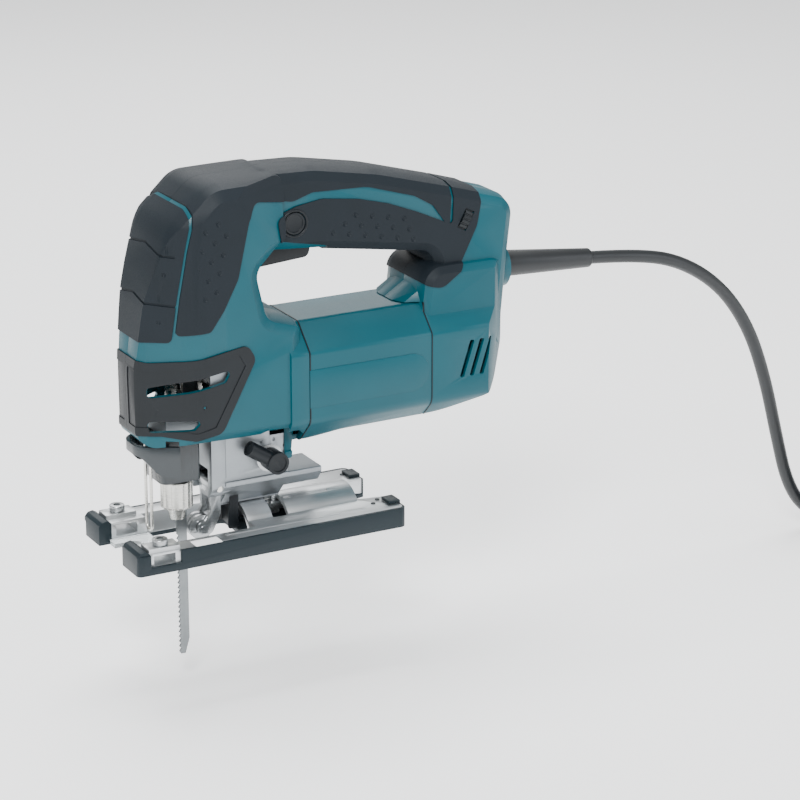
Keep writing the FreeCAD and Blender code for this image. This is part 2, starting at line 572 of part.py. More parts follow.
fork = fork.cut(rod(1.7, (roller_x, -15, roller_z), (roller_x, 15, roller_z)))
save("roller_fork", fork)
roller = rod(roller_r, (roller_x, -4.2, roller_z), (roller_x, 4.2, roller_z))
groove = rod(roller_r + 1, (roller_x, -0.9, roller_z), (roller_x, 0.9, roller_z))
groove = groove.cut(rod(roller_r - 0.9, (roller_x, -0.9, roller_z), (roller_x, 0.9, roller_z)))
roller = roller.cut(groove).cut(rod(1.75, (roller_x, -6, roller_z), (roller_x, 6, roller_z)))
save("guide_roller", roller)
save("roller_pin", rod(1.7, (roller_x, -8.0, roller_z), (roller_x, 8.0, roller_z)))

# ---- orbital-action lever ----
lean = math.radians(147)
arm_way = V(math.cos(lean), 0, math.sin(lean))
knob = rod(6.4, (lever_x, -27.5, lever_z), (lever_x, -15.9, lever_z))
lever_arm = Part.makeCylinder(4.6, 20.0, V(lever_x, -22.5, lever_z), arm_way)
stem = rod(4.0, (lever_x, -16.5, lever_z), (lever_x, -11.5, lever_z))
cam = rod(5.0, (lever_x + 1.6, -11.2, lever_z + 2), (lever_x + 1.6, 9.0, lever_z + 2))
cam_stem = rod(4.0, (lever_x, -12, lever_z), (lever_x, 9.0, lever_z))
save("orbit_lever", fuse(knob, lever_arm, stem, cam_stem, cam))

# ---- base ----
front = -base_length / 2.0
rear = base_length / 2.0
cover_thick = 2.5
plate_low = cover_thick + 0.1
arch_front = -6.0
arch_rear = 64.0
opening_half = 16.4         # half the width of the sole's front opening
lip_long = 7.8
plate_half = 36.3
plate_front = front + lip_long
plate_plan = [(plate_front, -plate_half, 2), (rear - 1, -plate_half, 3), (rear - 1, plate_half, 3),
              (plate_front, plate_half, 2)]
plate = plan_prism(plate_plan, plate_low, base_top)
arch = rod(arch_radius, (arch_front, 0, 0), (arch_rear, 0, 0)).common(box(-90, 90, -30, 30, plate_low, 30))
fence_top = 14.0
fence_boxes = fuse(box(-76, -57.5, 24.5, 35.5, base_top - 1, fence_top),
                   box(-76, -57.5, -35.5, -24.5, base_top - 1, fence_top))
base_plate = fuse(plate, arch, *fence_boxes.Solids)
base_plate = base_plate.cut(rod(arch_radius - arch_wall, (arch_front - 1, 0, 0), (rear + 1, 0, 0)))
# front opening with sides that lean away, so that the base can tilt past the fork and the clamp
for x0, x1, half in ((front - 1, -54, 7.5), (-54.5, arch_front, 13.5)):
    low = max(half + plate_low, opening_half)
    wedge = [(-low, 0, 0.5), (low, 0, 0.5), (low, low - half, 0.5), (half + 20, 20, 0.5),
             (-half - 20, 20, 0.5), (-low, low - half, 0.5)]
    base_plate = base_plate.cut(end_prism(wedge, x0, x1))
rear_notch = [(arch_rear, -13, 5), (rear + 5, -17, 1), (rear + 5, 17, 1), (arch_rear, 13, 5)]
base_plate = base_plate.cut(plan_prism(rear_notch, 0, 30))
for y0, y1 in ((-33.5, -22), (22, 33.5)):
    base_plate = base_plate.cut(box(-50, 70, y0, y1, 0, 8.5))
fence_slot = box(-73.5, -60.5, -45, 45, 4.4, 10.2)
base_plate = base_plate.cut(fence_slot)
slide = 5.0
cross_slot = box(bolt_x - slide - bolt_r - 0.5, bolt_x + bolt_r + 0.5, -30, 30, 8.2, 25)
base_plate = base_plate.cut(cross_slot.common(rod(arch_radius + 1, (0, 0, 0), (90, 0, 0))))
fence_screw_spots = [(-67, -30), (-67, 30)]
fence_screw_r = 2.5
for x, y in fence_screw_spots:
    base_plate = base_plate.cut(rod(fence_screw_r, (x, y, 9), (x, y, 20)))
save("base_plate", base_plate)

cover_plan = [(front, -base_half, 3), (rear, -base_half, 4), (rear, base_half, 4), (front, base_half, 3)]
tray = plan_prism(cover_plan, 0, base_top)
tray = tray.cut(plan_prism(grown(plate_plan, 0.12), cover_thick, base_top + 1))
opening_plan = [(front - 10, -opening_half, 1), (-6.5, -opening_half, 3), (-6.5, opening_half, 3),
                (front - 10, opening_half, 1)]
opening = plan_prism(opening_plan, -1, 20)
lip_side = [(front + 0.05, 8, 1), (front + lip_long - 0.05, 8, 1), (front + lip_long - 0.05, 12.4, 1),
            (front + 5, 14, 1), (front + 2, 13.4, 1), (front + 0.05, 11, 1)]
lips = side_prism(lip_side, -37.6, 37.6)
cover_plate = tray.fuse(lips).cut(opening)
cover_plate = cover_plate.cut(fence_slot).cut(box(-76, -57.5, -60, 60, 4.2, 30))
cover_notch = [(70, -13, 5), (rear + 5, -17, 1), (rear + 5, 17, 1), (70, 13, 5)]
cover_plate = cover_plate.cut(plan_prism(cover_notch, -1, 30))
cover_plate = cover_plate.cut(rod(6.5, (bolt_x, 0, -1), (bolt_x, 0, 5)))
for y in (-25.0, 25.0):
    cover_plate = cover_plate.fuse(box(rear - 7, rear - 0.5, y - 5, y + 5, base_top + 0.15, base_top + 1.9))
    cover_plate = cover_plate.fuse(box(rear - 0.95, rear - 0.05, y - 5, y + 5, 1, base_top + 1.9))
save("cover_plate", cover_plate.removeSplitter())

fence_screws = []
for x, y in fence_screw_spots:
    screw_head = rod(4.4, (x, y, fence_top + 0.2), (x, y, fence_top + 3.7))
    screw = fuse(screw_head, rod(2.4, (x, y, 10.3), (x, y, fence_top + 0.2)))
    fence_screws.append(screw.cut(rod(1.6, (x, y, fence_top + 1.5), (x, y, fence_top + 5))))
save("fence_screws", group(*fence_screws))

splinter_plan = [(-78, -15.9, 1), (-54, -15.9, 1), (-54, 15.9, 1), (-78, 15.9, 1)]
splinter = plan_prism(splinter_plan, 0.4, 3.0)
splinter = splinter.cut(plan_prism([(-90, -8, 2), (-63, -8, 6), (-63, 8, 6), (-90, 8, 2)], -1, 5))
save("splinter_guard", splinter)

shoe = pipe(arch_radius - arch_wall - 0.35, 12.4, (5, 0, 0), (29, 0, 0)).common(box(0, 40, -4.4, 4.4, 8, 30))
shoe = shoe.cut(box(bolt_x - slide - bolt_r - 0.3, bolt_x + bolt_r + 0.3, -bolt_r - 0.2, bolt_r + 0.2, 5, 20))
save("clamp_shoe", shoe)
bolt = fuse(rod(3.8, (bolt_x, 0, 8.6), (bolt_x, 0, 11.6)), rod(bolt_r, (bolt_x, 0, 11.6), (bolt_x, 0, 34)))
save("base_bolt", bolt.cut(rod(1.6, (bolt_x, 0, 8), (bolt_x, 0, 10.5))))

# ---- controls in the handle ----
trigger_side = [(3, 157.5, 3), (37, 160, 4), (39, 170.5, 1), (1, 170.5, 1), (0.5, 161, 3)]
save("trigger", side_prism(trigger_side, -9.3, 9.3))
save("trigger_spring", pipe(2.8, 1.8, (12, 0, 170.7), (12, 0, 177.8)))
save("switch_body", box(8, 38, -8, 8, 178, 197))
lock_button = rod(button_r, (button_x, -20.9, button_z), (button_x, -16.5, button_z))
lock_stem = rod(2.4, (button_x, -16.5, button_z), (button_x, -11.6, button_z))
save("lock_button", fuse(lock_button, lock_stem))
dial = Part.makeCylinder(dial_r, 5.0, dial_centre - dial_way * 2.5, dial_way)
dial_across = dial_way.cross(V(0, 1, 0)).normalize()
for n in range(24):
    a = 2.0 * math.pi * n / 24.0
    spot = dial_centre + V(0, 1, 0) * (dial_r * math.cos(a)) + dial_across * (dial_r * math.sin(a))
    dial = dial.cut(Part.makeCylinder(0.6, 6.0, spot - dial_way * 3.0, dial_way))
dial = dial.cut(Part.makeCylinder(1.5, 6.0, dial_centre - dial_way * 3.0, dial_way))
save("speed_dial", dial)
board = box(141, 144, -14, 14, 100, 150)
save("control_board", fuse(board, box(144, 149, -9, 9, 106, 122)))
save("cord_clamp", box(150.5, 155, -11, 11, boss_z - 9, boss_z - 5))

# ---- cord guard, cord, coil, tie and plug ----
droop = V(60, 0, -4.6)
guard_start = V(boss_end + 0.9, 0, boss_z)
guard_tip = guard_start + droop
cord_guard = cone(7.9, 5.7, tuple(guard_start), tuple(guard_tip))
cord_guard = fuse(cord_guard, rod(6.0, (155, 0, boss_z), (boss_end + 1, 0, boss_z)))
save("cord_guard", cord_guard)


def cord_tube(route, radius, label):
    """A tube on straight runs joined by tangent arcs as large as the runs allow."""
    points = [V(*p) for p in route]
    edges = []
    start = points[0]
    for i in range(1, len(points) - 1):
        back = points[i - 1] - points[i]
        ahead = points[i + 1] - points[i]
        shorter = min(back.Length, ahead.Length)
        a = V(back).normalize()
        b = V(ahead).normalize()
        half_turn = (math.pi - a.getAngle(b)) / 2.0
        bend = 0.45 * shorter / math.tan(half_turn)
        reach = 0.45 * shorter
        middle = points[i] + (a + b).normalize() * (bend / math.cos(half_turn) - bend)
        first = points[i] + a * reach
        last = points[i] + b * reach
        edges.append(Part.LineSegment(start, first).toShape())
        edges.append(Part.Arc(first, middle, last).toShape())
        print(label, "bend radius", round(bend, 1))
        start = last
    edges.append(Part.LineSegment(start, points[-1]).toShape())
    wire = Part.Wire(edges)
    ring = Part.Wire([Part.makeCircle(radius, points[0], points[1] - points[0])])
    tube = wire.makePipeShell([ring], True, False)
    print(label, "length", round(wire.Length, 1), "volume ratio",
          round(tube.Volume / (math.pi * radius ** 2 * wire.Length), 4))
    return tube


cord_r = cord_d / 2.0
lie = floor_z + cord_r
coil_x, coil_y = 466.0, -19.0
coil_out_r = coil_mid_r + coil_turn_rows * cord_d / 2.0
outer_turn_r = coil_out_r - cord_r
route = [tuple(guard_tip), (258, 0, 129), (292, 1, 121), (326, 5, 99.5), (352, 10, 68), (370, 15, 30),
         (385, 21, -12), (399, 26, -50), (418, 30, -73.5), (446, coil_y + outer_turn_r, lie),
         (coil_x, coil_y + outer_turn_r - 0.8, lie)]
save("cord_run", cord_tube(route, cord_r, "cord_run"))
coil = pipe(coil_out_r, coil_mid_r - coil_turn_rows * cord_d / 2.0,
            (coil_x, coil_y, floor_z), (coil_x, coil_y, floor_z + coil_turn_rows * cord_d))
save("cord_coil", coil)
plug_z = floor_z + 7.0
tail_y = coil_y - outer_turn_r
boot = cone(4.3, 6.5, (coil_x - 10, tail_y, lie + 0.4), (coil_x - 40, tail_y, plug_z))
plug_plan = [(coil_x - 72, tail_y - 17.5, 4), (coil_x - 56, tail_y - 17.5, 8), (coil_x - 38, tail_y - 7.5, 3),
             (coil_x - 38, tail_y + 7.5, 3), (coil_x - 56, tail_y + 17.5, 8), (coil_x - 72, tail_y + 17.5, 4)]
save("plug_body", fuse(plan_prism(plug_plan, floor_z, floor_z + 14.0), boot))
pin_r, pin_long, pin_apart = 2.4, 19.0, 19.0
pins = [rod(pin_r, (coil_x - 72 - pin_long, tail_y + side * pin_apart / 2, plug_z),
            (coil_x - 72, tail_y + side * pin_apart / 2, plug_z)) for side in (-1, 1)]
save("plug_pins", group(*pins))
inside_r = coil_mid_r - coil_turn_rows * cord_d / 2.0
tie = box(coil_x + inside_r - 2, coil_x + coil_out_r + 2, coil_y - 6, coil_y + 6, floor_z,
          floor_z + coil_turn_rows * cord_d + 2)
save("cord_tie", tie.cut(coil))
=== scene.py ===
import json
import math
import bpy
import bmesh
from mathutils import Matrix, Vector


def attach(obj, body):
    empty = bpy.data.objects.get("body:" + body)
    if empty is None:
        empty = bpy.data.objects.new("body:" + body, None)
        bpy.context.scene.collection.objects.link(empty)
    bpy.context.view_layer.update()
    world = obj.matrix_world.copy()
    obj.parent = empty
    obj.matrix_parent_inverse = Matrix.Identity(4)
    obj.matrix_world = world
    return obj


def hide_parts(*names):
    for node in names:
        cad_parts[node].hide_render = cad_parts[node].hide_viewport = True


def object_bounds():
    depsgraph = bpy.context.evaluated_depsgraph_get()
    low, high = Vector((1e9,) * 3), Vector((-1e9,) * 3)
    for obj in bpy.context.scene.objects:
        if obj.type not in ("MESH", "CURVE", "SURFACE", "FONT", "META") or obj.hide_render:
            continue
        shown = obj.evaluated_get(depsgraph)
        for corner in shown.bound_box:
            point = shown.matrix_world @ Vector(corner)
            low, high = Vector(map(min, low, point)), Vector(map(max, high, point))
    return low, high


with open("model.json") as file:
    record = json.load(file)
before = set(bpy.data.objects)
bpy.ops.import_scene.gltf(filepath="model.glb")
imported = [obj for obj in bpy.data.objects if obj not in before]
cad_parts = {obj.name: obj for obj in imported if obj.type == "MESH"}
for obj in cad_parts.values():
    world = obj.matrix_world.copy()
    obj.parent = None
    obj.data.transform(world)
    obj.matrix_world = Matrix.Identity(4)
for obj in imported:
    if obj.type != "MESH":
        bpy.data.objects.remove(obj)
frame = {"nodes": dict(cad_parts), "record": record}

cadLow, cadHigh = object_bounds()
bpy.ops.object.select_all(action="DESELECT")        # the frame's nodes come in selected
mm = 0.001
left, right = -1, 1      # -Y is the tool's left side


def place(x, y, z):
    return Vector((x, y, z)) * mm


def linear(hexColour):
    channels = [int(hexColour[i:i + 2], 16) / 255 for i in (1, 3, 5)]
    return tuple(c / 12.92 if c <= 0.04045 else ((c + 0.055) / 1.055) ** 2.4 for c in channels) + (1.0,)


# camera
shot = {
    "turn": math.radians(-28.42),      # round the tool, from its left side
    "rise": math.radians(18.63),
    "distance": 1.7,
    "target": place(100.1, 0, 62.5),
    "lens": 131.5,
    "sensor": 36.0,
}


def addCamera():
    turn, rise = shot["turn"], shot["rise"]
    back = Vector((math.sin(turn) * math.cos(rise), -math.cos(turn) * math.cos(rise), math.sin(rise)))
    bpy.ops.object.camera_add(location=shot["target"] + back * shot["distance"])
    camera = bpy.context.object
    camera.rotation_euler = back.to_track_quat("Z", "Y").to_euler()
    camera.data.lens = shot["lens"]
    camera.data.sensor_width = shot["sensor"]
    camera.data.clip_end = 20
    bpy.context.scene.camera = camera


# materials: one small function adds a node with its settings and links
def addNode(tree, kind, settings=None, inputs=None):
    node = tree.nodes.new(kind)
    for key, value in (settings or {}).items():
        setattr(node, key, value)
    for key, value in (inputs or {}).items():
        if isinstance(value, bpy.types.NodeSocket):
            tree.links.new(value, node.inputs[key])
        else:
            node.inputs[key].default_value = value
    return node


def newMaterial(name, **sockets):
    made = bpy.data.materials.new(name)
    made.use_nodes = True
    shader = made.node_tree.nodes["Principled BSDF"]
    for key, value in sockets.items():
        shader.inputs[key.replace("_", " ")].default_value = value
    return made, made.node_tree, shader


# A moulded or cast skin: two close colours in soft patches, a grain in the relief, and patchy gloss.
def giveSkin(tree, shader, colours, patchMm, grainMm, reliefMm, gloss, strength=0.6):
    where = addNode(tree, "ShaderNodeTexCoord").outputs["Object"]
    patch = addNode(tree, "ShaderNodeTexNoise", None,
                    {"Vector": where, "Scale": 1 / (patchMm * mm), "Detail": 3.0})
    tone = addNode(tree, "ShaderNodeMix", {"data_type": "RGBA"},
                   {0: patch.outputs["Fac"], 6: linear(colours[0]), 7: linear(colours[1])})
    tree.links.new(tone.outputs[2], shader.inputs["Base Color"])
    grain = addNode(tree, "ShaderNodeTexNoise", None,
                    {"Vector": where, "Scale": 1 / (grainMm * mm), "Detail": 2.0, "Roughness": 0.55})
    dull = addNode(tree, "ShaderNodeMapRange", None,
                   {"Value": grain.outputs["Fac"], "From Min": 0.3, "From Max": 0.7,
                    "To Min": gloss[0], "To Max": gloss[1]})
    tree.links.new(dull.outputs["Result"], shader.inputs["Roughness"])
    relief = addNode(tree, "ShaderNodeBump", None,
                     {"Height": grain.outputs["Fac"], "Strength": strength, "Distance": reliefMm * mm})
    tree.links.new(relief.outputs["Normal"], shader.inputs["Normal"])


# A drawn, turned or ground metal: fine scratches along one axis, stretched noise in the relief and the gloss.
def giveScratches(tree, shader, colours, alongMm, acrossMm, reliefMm, gloss, strength=0.4):
    where = addNode(tree, "ShaderNodeTexCoord").outputs["Object"]
    stretch = addNode(tree, "ShaderNodeMapping", {"vector_type": "POINT"}, {"Vector": where})
    stretch.inputs["Scale"].default_value = [1 / (s * mm) for s in alongMm]
    lines = addNode(tree, "ShaderNodeTexNoise", None,
                    {"Vector": stretch.outputs["Vector"], "Scale": 1.0, "Detail": 3.0})
    cloud = addNode(tree, "ShaderNodeTexNoise", None,
                    {"Vector": where, "Scale": 1 / (acrossMm * mm), "Detail": 2.0})
    tone = addNode(tree, "ShaderNodeMix", {"data_type": "RGBA"},
                   {0: cloud.outputs["Fac"], 6: linear(colours[0]), 7: linear(colours[1])})
    tree.links.new(tone.outputs[2], shader.inputs["Base Color"])
    dull = addNode(tree, "ShaderNodeMapRange", None,
                   {"Value": lines.outputs["Fac"], "From Min": 0.3, "From Max": 0.7,
                    "To Min": gloss[0], "To Max": gloss[1]})
    tree.links.new(dull.outputs["Result"], shader.inputs["Roughness"])
    relief = addNode(tree, "ShaderNodeBump", None,
                     {"Height": lines.outputs["Fac"], "Strength": strength, "Distance": reliefMm * mm})
    tree.links.new(relief.outputs["Normal"], shader.inputs["Normal"])


def seamlessPaper():       # matt paper sweep: flat and nearly white, with a faint glow that keeps the floor evenly bright; the pale patch on the base plate reuses it as a painted highlight
    return newMaterial("seamlessPaper", Base_Color=linear("#F2F3F4"), Roughness=0.9,
                       Emission_Color=linear("#FFFFFF"), Emission_Strength=0.45)[0]


def glassFilledNylon():       # moulded in a spark-eroded tool: satin teal with a fine pebble
    made, tree, shader = newMaterial("glassFilledNylon", IOR=1.5, Specular_IOR_Level=0.32)
    giveSkin(tree, shader, ("#00444F", "#004D59"), 30, 0.7, 0.03, (0.34, 0.44))
    return made


def gripElastomer():       # moulded thermoplastic rubber: dull blue-grey with a soft sheen
    made, tree, shader = newMaterial("gripElastomer", IOR=1.45, Specular_IOR_Level=0.28)
    giveSkin(tree, shader, ("#0E161C", "#121B22"), 22, 0.55, 0.04, (0.5, 0.62))
    return made


def darkNylon():       # moulded black-grey nylon: slightly glossier than the rubber
    made, tree, shader = newMaterial("darkNylon", IOR=1.5, Specular_IOR_Level=0.3)
    giveSkin(tree, shader, ("#0B1014", "#10161B"), 15, 0.5, 0.02, (0.38, 0.5))
    return made


def baseCoverAbs():       # moulded ABS shoe cover: matt blue-grey
    made, tree, shader = newMaterial("baseCoverAbs", IOR=1.5, Specular_IOR_Level=0.3)
    giveSkin(tree, shader, ("#101C22", "#142228"), 25, 0.6, 0.03, (0.4, 0.52))
    return made


# A clear resin: a soft haze that changes over a few millimetres.
def giveHaze(tree, shader, cloudMm, gloss):
    where = addNode(tree, "ShaderNodeTexCoord").outputs["Object"]
    haze = addNode(tree, "ShaderNodeTexNoise", None,
                   {"Vector": where, "Scale": 1 / (cloudMm * mm), "Detail": 2.0})
    dull = addNode(tree, "ShaderNodeMapRange", None,
                   {"Value": haze.outputs["Fac"], "To Min": gloss[0], "To Max": gloss[1]})
    tree.links.new(dull.outputs["Result"], shader.inputs["Roughness"])


def smokedPolycarbonate():       # clear resin with a grey tint: shows the plunger faintly
    made, tree, shader = newMaterial("smokedPolycarbonate", Base_Color=linear("#2F383D"), IOR=1.585,
                                     Transmission_Weight=0.45)
    giveHaze(tree, shader, 6, (0.14, 0.3))
    return made


def clearPolycarbonate():       # the splinter guard: polished and nearly colourless
    made, tree, shader = newMaterial("clearPolycarbonate", Base_Color=linear("#EAF0F1"), IOR=1.585,
                                     Transmission_Weight=0.85)
    giveHaze(tree, shader, 5, (0.06, 0.18))
    return made


def dieCastAluminium():       # shot-blasted casting: light grey, broken sparkle
    made, tree, shader = newMaterial("dieCastAluminium", Metallic=1.0)
    giveSkin(tree, shader, ("#90959A", "#A2A7AA"), 14, 0.45, 0.05, (0.38, 0.52), 0.5)
    return made


def pressedAluminium():       # rolled and pressed sheet, bead blasted: very pale with a soft gleam
    made, tree, shader = newMaterial("pressedAluminium", Metallic=1.0)
    giveScratches(tree, shader, ("#C4C7C9", "#D2D5D6"), (30, 0.4, 0.4), 12, 0.012, (0.34, 0.46))
    return made


def satinSteel():       # zinc-plated and tumbled: mid grey with soft highlights
    made, tree, shader = newMaterial("satinSteel", Metallic=1.0)
    giveSkin(tree, shader, ("#A9ACAE", "#B8BBBC"), 8, 0.35, 0.015, (0.24, 0.34), 0.4)
    return made


def turnedSteel():       # turned on a lathe and nickelled: rings round the upright axis
    made, tree, shader = newMaterial("turnedSteel", Metallic=1.0)
    giveScratches(tree, shader, ("#C9C8C2", "#D6D5D0"), (12, 12, 0.3), 6, 0.01, (0.2, 0.32))
    return made


def groundSteel():       # blade flanks, ground along their length
    made, tree, shader = newMaterial("groundSteel", Metallic=1.0)
    giveScratches(tree, shader, ("#7C8082", "#909496"), (0.35, 0.35, 14), 7, 0.012, (0.28, 0.42))
    return made


def hardenedSteel():       # oil-blackened bearing steel: dark with a polished edge
    made, tree, shader = newMaterial("hardenedSteel", Metallic=1.0)
    giveSkin(tree, shader, ("#3C4042", "#4A4E50"), 6, 0.3, 0.01, (0.25, 0.36), 0.4)
    return made


def transformerSteel():       # stacked 0.5 mm sheets: edges show as fine lines along the axis
    made, tree, shader = newMaterial("transformerSteel", Metallic=1.0)
    giveScratches(tree, shader, ("#6F7376", "#7E8285"), (0.5, 20, 20), 10, 0.05, (0.42, 0.6), 0.8)
    return made


def enamelledCopper():       # wound wire and commutator bars
    made, tree, shader = newMaterial("enamelledCopper", Metallic=1.0)
    giveScratches(tree, shader, ("#B4622F", "#C47A45"), (20, 0.6, 0.6), 9, 0.05, (0.26, 0.4), 0.8)
    return made


def sinteredBronze():       # pressed powder bush: matt brown metal with open pores
    made, tree, shader = newMaterial("sinteredBronze", Metallic=1.0)
    giveSkin(tree, shader, ("#9C7040", "#AD8250"), 5, 0.25, 0.03, (0.4, 0.55))
    return made


def lacqueredBoard():       # glass-epoxy circuit board under green lacquer
    made, tree, shader = newMaterial("lacqueredBoard", IOR=1.55)
    giveSkin(tree, shader, ("#1F5A38", "#2A6E47"), 8, 0.4, 0.02, (0.22, 0.34))
    return made


def cordPvc():       # extruded PVC sheath: near black with a faint drawn gloss
    made, tree, shader = newMaterial("cordPvc", IOR=1.52)
    giveSkin(tree, shader, ("#0E1114", "#14181B"), 12, 0.5, 0.03, (0.38, 0.5))
    return made


def nickelledBrass():       # plug pins: warm silver
    made, tree, shader = newMaterial("nickelledBrass", Metallic=1.0)
    giveScratches(tree, shader, ("#C9C4B8", "#D6D2C8"), (10, 0.3, 0.3), 5, 0.008, (0.18, 0.28))
    return made


makers = {
    "teal_plastic": glassFilledNylon,
    "soft_grip": gripElastomer,
    "dark_plastic": darkNylon,
    "smoked_plastic": smokedPolycarbonate,
    "cast_aluminium": dieCastAluminium,
    "base_cover": baseCoverAbs,
    "steel": satinSteel,
    "blade_steel": groundSteel,
    "electrical_steel": transformerSteel,
    "copper": enamelledCopper,
    "bronze": sinteredBronze,
    "circuit": lacqueredBoard,
    "clear_plastic": clearPolycarbonate,
    "cord_rubber": cordPvc,
    "pin_brass": nickelledBrass,
}
finish = {slotName: maker() for slotName, maker in makers.items()}
finish["pressed_plate"] = pressedAluminium()
finish["turned_steel"] = turnedSteel()
finish["hard_steel"] = hardenedSteel()
slotOf = {s["node"]: s["material_slot"] for s in frame["record"]["subparts"]}
turnedNodes = ("plunger", "clamp_sleeve", "clamp_collar", "gear_axle", "finger_guard", "hinge_pins",
               "armature_shaft")


def dressNodes():
    for name, node in frame["nodes"].items():
        look = finish["turned_steel"] if name in turnedNodes else finish[slotOf[name]]
        node.data.materials.clear()
        node.data.materials.append(look)


# mesh helpers
def startEdit(piece):
    bpy.ops.object.select_all(action="DESELECT")
    piece.select_set(True)
    bpy.context.view_layer.objects.active = piece
    bpy.ops.object.mode_set(mode="EDIT")
    bpy.ops.mesh.select_all(action="DESELECT")


def endEdit():
    bpy.ops.object.mode_set(mode="OBJECT")


def pickFaces(test):
    bpy.ops.mesh.select_mode(type="FACE")
    bpy.ops.mesh.select_all(action="DESELECT")
    shape = bmesh.from_edit_mesh(bpy.context.object.data)
    for face in shape.faces:
        face.select_set(bool(test(face.calc_center_median() / mm, face.normal)))
    bmesh.update_edit_mesh(bpy.context.object.data)


def settle(name, piece=None):       # place goes into the mesh, the object stays at the origin
    piece = piece or bpy.context.object
    bpy.ops.object.select_all(action="DESELECT")
    piece.select_set(True)
    bpy.context.view_layer.objects.active = piece
    bpy.ops.object.transform_apply(location=True, rotation=True, scale=True)
    piece.name = name
    piece.data.name = name
    return piece


def addDrum(name, radius, start, end, sides=48):       # a cylinder between two points, in millimetres
    start, end = Vector(start), Vector(end)
    way = end - start
    turn = way.to_track_quat("Z", "Y").to_euler()
    bpy.ops.mesh.primitive_cylinder_add(vertices=sides, radius=radius * mm, depth=way.length * mm,
                                        location=(start + end) / 2 * mm, rotation=turn)
    return settle(name)


def addCone(name, radii, start, end, sides=48):
    start, end = Vector(start), Vector(end)
    way = end - start
    turn = way.to_track_quat("Z", "Y").to_euler()
    bpy.ops.mesh.primitive_cone_add(vertices=sides, radius1=radii[0] * mm, radius2=radii[1] * mm,
                                    depth=way.length * mm, location=(start + end) / 2 * mm, rotation=turn)
    return settle(name)


def addBlock(name, low, high):
    low, high = Vector(low), Vector(high)
    bpy.ops.mesh.primitive_cube_add(size=1, location=(low + high) / 2 * mm)
    bpy.context.object.scale = (high - low) * mm
    return settle(name)


def addSlab(name, outline, y0, y1):       # an (x, z) outline pulled across the tool
    bpy.ops.mesh.primitive_circle_add(vertices=len(outline), fill_type="NGON")
    slab = settle(name)
    for vertex, (x, z) in zip(slab.data.vertices, outline):
        vertex.co = place(x, y0, z)
    startEdit(slab)
    bpy.ops.mesh.select_all(action="SELECT")
    bpy.ops.mesh.extrude_region_move(TRANSFORM_OT_translate={"value": (0, (y1 - y0) * mm, 0)})
    bpy.ops.mesh.select_all(action="SELECT")
    bpy.ops.mesh.normals_make_consistent(inside=False)
    endEdit()
    return slab


def useModifier(piece, kind, **settings):
    bpy.ops.object.select_all(action="DESELECT")
    piece.select_set(True)
    bpy.context.view_layer.objects.active = piece
    modifier = piece.modifiers.new(kind.title(), kind)
    for key, value in settings.items():
        setattr(modifier, key, value)
    bpy.ops.object.modifier_apply(modifier=modifier.name)
    return piece


def combine(piece, tool, how):       # boolean with another closed mesh, which is used up
    useModifier(piece, "BOOLEAN", operation=how, object=tool, solver="EXACT")
    bpy.data.objects.remove(tool, do_unlink=True)
    return piece


def joined(pieces):
    bpy.ops.object.select_all(action="DESELECT")
    for piece in pieces:
        piece.select_set(True)
    bpy.context.view_layer.objects.active = pieces[0]
    bpy.ops.object.join()
    return pieces[0]


def soften(piece, width, segments=2, angle=32):       # rounded edges that catch the light
    return useModifier(piece, "BEVEL", width=width * mm, segments=segments, limit_method="ANGLE",
                       angle_limit=math.radians(angle), use_clamp_overlap=True, miter_outer="MITER_ARC")


def smooth(piece, angle=32):
    bpy.ops.object.select_all(action="DESELECT")
    piece.select_set(True)
    bpy.context.view_layer.objects.active = piece
    bpy.ops.object.shade_smooth_by_angle(angle=math.radians(angle))
    return piece


def fit(piece, body, slotName, look=None, stands=(), angle=32):
    smooth(piece, angle)
    piece.data.materials.clear()
    piece.data.materials.append(finish[look or slotName])
    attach(piece, body)
    if stands:
        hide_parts(*stands)
    return piece


def solidCopy(nodeName, name):       # the node's mesh with its loose triangles joined up
    piece = bpy.data.objects.new(name, frame["nodes"][nodeName].data.copy())
    bpy.context.collection.objects.link(piece)
    bpy.ops.object.select_all(action="DESELECT")
    piece.select_set(True)
    bpy.context.view_layer.objects.active = piece
    bpy.ops.mesh.customdata_custom_splitnormals_clear()
    startEdit(piece)
    bpy.ops.mesh.select_all(action="SELECT")
    bpy.ops.mesh.remove_doubles(threshold=0.004 * mm)
    bpy.ops.mesh.dissolve_limited(angle_limit=math.radians(0.6))
    endEdit()
    piece.data.name = name
    return piece


# floor and lights
def addLamp(name, spot, size, power, colour, aim=(80, 0, 80)):
    bpy.ops.object.light_add(type="AREA", location=spot)
    lamp = bpy.context.object
    lamp.name = name
    lamp.data.shape = "RECTANGLE"
    lamp.data.size, lamp.data.size_y = size
    lamp.data.energy = power
    lamp.data.color = linear(colour)[:3]
    lamp.rotation_euler = (Vector(spot) - place(*aim)).to_track_quat("Z", "Y").to_euler()


def addStudio():
    bpy.ops.mesh.primitive_plane_add(size=8, location=(0, 0, cadLow.z - 0.6 * mm))
    floor = settle("studioFloor")
    floor.data.materials.append(seamlessPaper())
    addLamp("keyLamp", (-0.9, -1.3, 1.5), (0.6, 0.6), 48, "#FFFFFF")
    addLamp("topLamp", (0.1, 0.3, 1.9), (1.3, 1.0), 44, "#FFFFFF")
    addLamp("fillLamp", (1.5, -1.2, 0.7), (0.8, 1.1), 10, "#F4F8FF")
    addLamp("rimLamp", (0.5, 1.5, 1.1), (1.4, 0.8), 12, "#FFFFFF")
    world = bpy.data.worlds.new("softRoom")
    bpy.context.scene.world = world
    world.use_nodes = True
    backdrop = world.node_tree.nodes["Background"]
    backdrop.inputs["Color"].default_value = linear("#FBFCFC")
    backdrop.inputs["Strength"].default_value = 0.6


